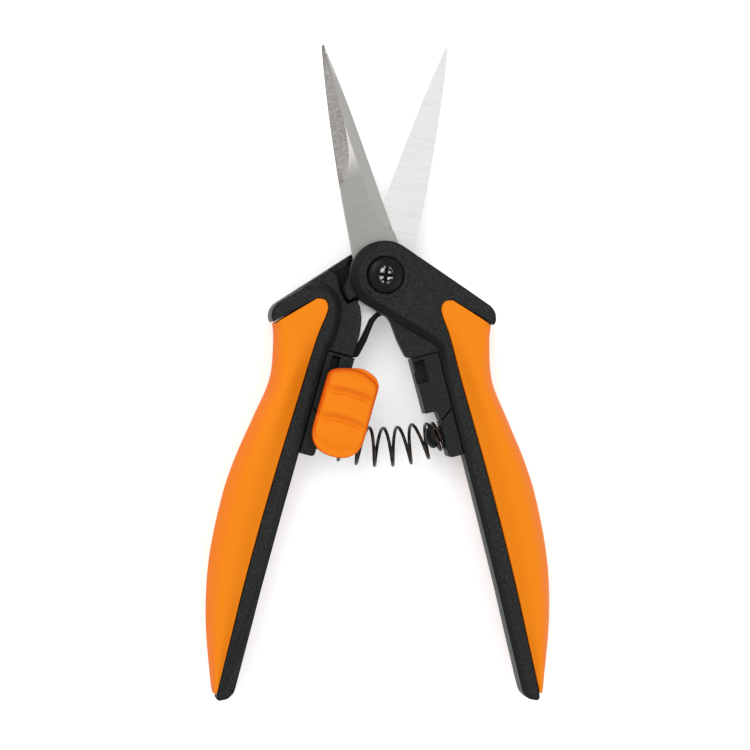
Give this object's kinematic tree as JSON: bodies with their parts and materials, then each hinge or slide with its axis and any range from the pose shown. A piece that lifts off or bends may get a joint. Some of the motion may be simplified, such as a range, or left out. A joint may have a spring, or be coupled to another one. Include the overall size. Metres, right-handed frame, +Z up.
{
  "type": "floral snips",
  "caption": "Slim spring-opened flower snips: crossing pointed blades on a screw pivot, curved soft-grip handles, coil spring and sliding thumb lock.",
  "frame": {"origin": "on the pivot axis, at the flat back of the pivot nut, which is the lowest face when the snips lie on a table", "axes": "+Y towards the blade tips, +Z up along the pivot axis towards the screw head and the lock button, +X to the right handle"},
  "size_m": [0.0878, 0.1657, 0.0182],
  "materials": {
    "blade_steel": "finely brushed stainless steel",
    "black_nylon": "fine moulded texture, charcoal",
    "black_insert": "fine moulded texture, charcoal",
    "orange_grip": "satin, slightly soft",
    "orange_button": "satin",
    "black_hardware": "glossy black coating",
    "spring_wire": "dark oiled spring wire"
  },
  "bodies": {
    "front_half": {"front_blade": "blade_steel", "front_outer_shell": "black_nylon", "front_inner_shell": "black_nylon", "front_grip": "orange_grip", "front_tang_pin": "black_hardware", "front_spring_seat": "black_insert", "front_spring_post": "black_insert", "front_catch_block": "black_insert", "pivot_screw": "black_hardware", "pivot_sleeve": "black_hardware", "pivot_washer": "black_hardware", "pivot_nut": "black_hardware", "opening_spring": "spring_wire"},
    "rear_half": {"rear_blade": "blade_steel", "rear_outer_shell": "black_nylon", "rear_inner_shell": "black_nylon", "rear_grip": "orange_grip", "rear_tang_pin": "black_hardware", "rear_spring_seat": "black_insert", "rear_spring_post": "black_insert", "rear_lock_rail": "black_insert", "lock_detent_spring": "black_hardware"},
    "lock": {"lock_bolt": "black_insert", "lock_button": "orange_button"}
  },
  "joints": [
    {"name": "handle_pivot", "type": "hinge", "parent": "front_half", "child": "rear_half", "pos_m": [0, 0, 0.008], "axis": [0, 0, 1], "range_deg": [0, 30], "stiffness_Nm_per_rad": 0.25, "springref_deg": -34.38, "deforming": ["opening_spring"]},
    {"name": "lock_slide", "type": "slide", "parent": "rear_half", "child": "lock", "axis": [0.2588, 0.9659, 0], "range_m": [0, 0.0028]}
  ]
}
